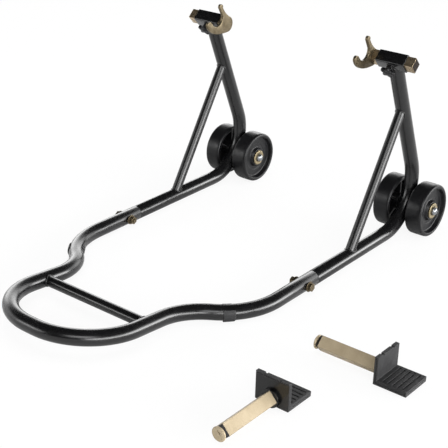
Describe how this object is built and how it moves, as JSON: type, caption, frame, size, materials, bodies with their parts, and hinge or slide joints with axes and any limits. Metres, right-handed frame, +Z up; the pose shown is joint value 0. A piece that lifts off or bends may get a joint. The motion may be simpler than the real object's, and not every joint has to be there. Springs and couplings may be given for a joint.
{
  "type": "motorcycle paddock stand",
  "caption": "Tubular paddock stand with a looped handle and braced arms on small wheels, sliding spool hooks with screw clamps, and lift-off L-shaped rubber pad adapters.",
  "frame": {"origin": "middle of the whole footprint, on the floor", "axes": "+Z up; the handle points to -Y and the wheels are at the +Y end; +X is the right arm and the side where the loose pad adapters lie"},
  "size_m": [0.8702, 0.9386, 0.4425],
  "materials": {
    "black_paint": "glossy powder coat",
    "gold_zinc": "matte yellow zinc plate",
    "pale_zinc": "satin pale zinc plate",
    "bright_steel": "bright",
    "wheel_plastic": "satin moulded",
    "knob_plastic": "satin moulded",
    "rubber": "matte"
  },
  "bodies": {
    "frame": {"handle_loop": "black_paint", "handle_brace": "black_paint", "left_arm": "black_paint", "left_arm_brace": "black_paint", "left_axle_housing": "black_paint", "left_axle_bolt": "bright_steel", "left_joint_bolt": "gold_zinc", "left_joint_nut": "gold_zinc", "left_hook_socket": "black_paint", "left_clamp_boss": "black_paint", "left_rubber_foot": "rubber", "left_outer_axle_cap": "bright_steel", "left_inner_axle_cap": "bright_steel", "left_outer_axle_washer": "bright_steel", "left_inner_axle_washer": "bright_steel", "right_arm": "black_paint", "right_arm_brace": "black_paint", "right_axle_housing": "black_paint", "right_axle_bolt": "bright_steel", "right_joint_bolt": "gold_zinc", "right_joint_nut": "gold_zinc", "right_hook_socket": "black_paint", "right_clamp_boss": "black_paint", "right_rubber_foot": "rubber", "right_outer_axle_cap": "bright_steel", "right_inner_axle_cap": "bright_steel", "right_outer_axle_washer": "bright_steel", "right_inner_axle_washer": "bright_steel"},
    "left_outer_wheel": {"left_outer_wheel": "wheel_plastic", "left_outer_wheel_bush": "gold_zinc"},
    "left_inner_wheel": {"left_inner_wheel": "wheel_plastic", "left_inner_wheel_bush": "gold_zinc"},
    "right_outer_wheel": {"right_outer_wheel": "wheel_plastic", "right_outer_wheel_bush": "gold_zinc"},
    "right_inner_wheel": {"right_inner_wheel": "wheel_plastic", "right_inner_wheel_bush": "gold_zinc"},
    "left_hook": {"left_hook_bar": "gold_zinc", "left_hook": "gold_zinc"},
    "left_clamp_screw": {"left_clamp_screw": "bright_steel"},
    "left_clamp_knob": {"left_clamp_knob": "knob_plastic"},
    "right_hook": {"right_hook_bar": "gold_zinc", "right_hook": "gold_zinc"},
    "right_clamp_screw": {"right_clamp_screw": "bright_steel"},
    "right_clamp_knob": {"right_clamp_knob": "knob_plastic"},
    "front_pad_adapter": {"front_pad_bracket": "black_paint", "front_pad_cover": "rubber", "front_pad_post": "pale_zinc", "front_pad_collar": "black_paint", "front_pad_plug": "knob_plastic", "front_pad_button": "pale_zinc"},
    "rear_pad_adapter": {"rear_pad_bracket": "black_paint", "rear_pad_cover": "rubber", "rear_pad_post": "pale_zinc", "rear_pad_collar": "black_paint", "rear_pad_plug": "knob_plastic", "rear_pad_button": "pale_zinc"}
  },
  "joints": [
    {"name": "left_outer_wheel_spin", "type": "hinge", "parent": "frame", "child": "left_outer_wheel", "pos_m": [-0.4088, 0.41252, 0.05685], "axis": [1, 0, 0], "continuous": true},
    {"name": "left_inner_wheel_spin", "type": "hinge", "parent": "frame", "child": "left_inner_wheel", "pos_m": [-0.3304, 0.41252, 0.05685], "axis": [1, 0, 0], "continuous": true},
    {"name": "right_outer_wheel_spin", "type": "hinge", "parent": "frame", "child": "right_outer_wheel", "pos_m": [0.133, 0.41252, 0.05685], "axis": [1, 0, 0], "continuous": true},
    {"name": "right_inner_wheel_spin", "type": "hinge", "parent": "frame", "child": "right_inner_wheel", "pos_m": [0.0546, 0.41252, 0.05685], "axis": [1, 0, 0], "continuous": true},
    {"name": "left_hook_slide", "type": "slide", "parent": "frame", "child": "left_hook", "axis": [-1, 0, 0], "range_m": [-0.035, 0.012]},
    {"name": "left_screw_travel", "type": "slide", "parent": "frame", "child": "left_clamp_screw", "axis": [0, -0.7188, -0.6952], "range_m": [0, 0.00375]},
    {"name": "left_knob_turn", "type": "hinge", "parent": "left_clamp_screw", "child": "left_clamp_knob", "pos_m": [-0.3686, 0.29207, 0.39701], "axis": [0, -0.7188, -0.6952], "range_deg": [0, 1083]},
    {"name": "right_hook_slide", "type": "slide", "parent": "frame", "child": "right_hook", "axis": [1, 0, 0], "range_m": [-0.035, 0.012]},
    {"name": "right_screw_travel", "type": "slide", "parent": "frame", "child": "right_clamp_screw", "axis": [0, -0.7188, -0.6952], "range_m": [0, 0.00375]},
    {"name": "right_knob_turn", "type": "hinge", "parent": "right_clamp_screw", "child": "right_clamp_knob", "pos_m": [0.0928, 0.29207, 0.39701], "axis": [0, -0.7188, -0.6952], "range_deg": [0, 1083]},
    {"name": "front_pad_lift", "type": "slide", "parent": "frame", "child": "front_pad_adapter", "axis": [0, 0, 1], "range_m": [0, 0.3]},
    {"name": "rear_pad_lift", "type": "slide", "parent": "frame", "child": "rear_pad_adapter", "axis": [0, 0, 1], "range_m": [0, 0.3]}
  ],
  "couplings": [
    {"joint": "left_knob_turn", "follows": "left_screw_travel", "rad_per_m": 5026.5},
    {"joint": "right_knob_turn", "follows": "right_screw_travel", "rad_per_m": 5026.5}
  ]
}
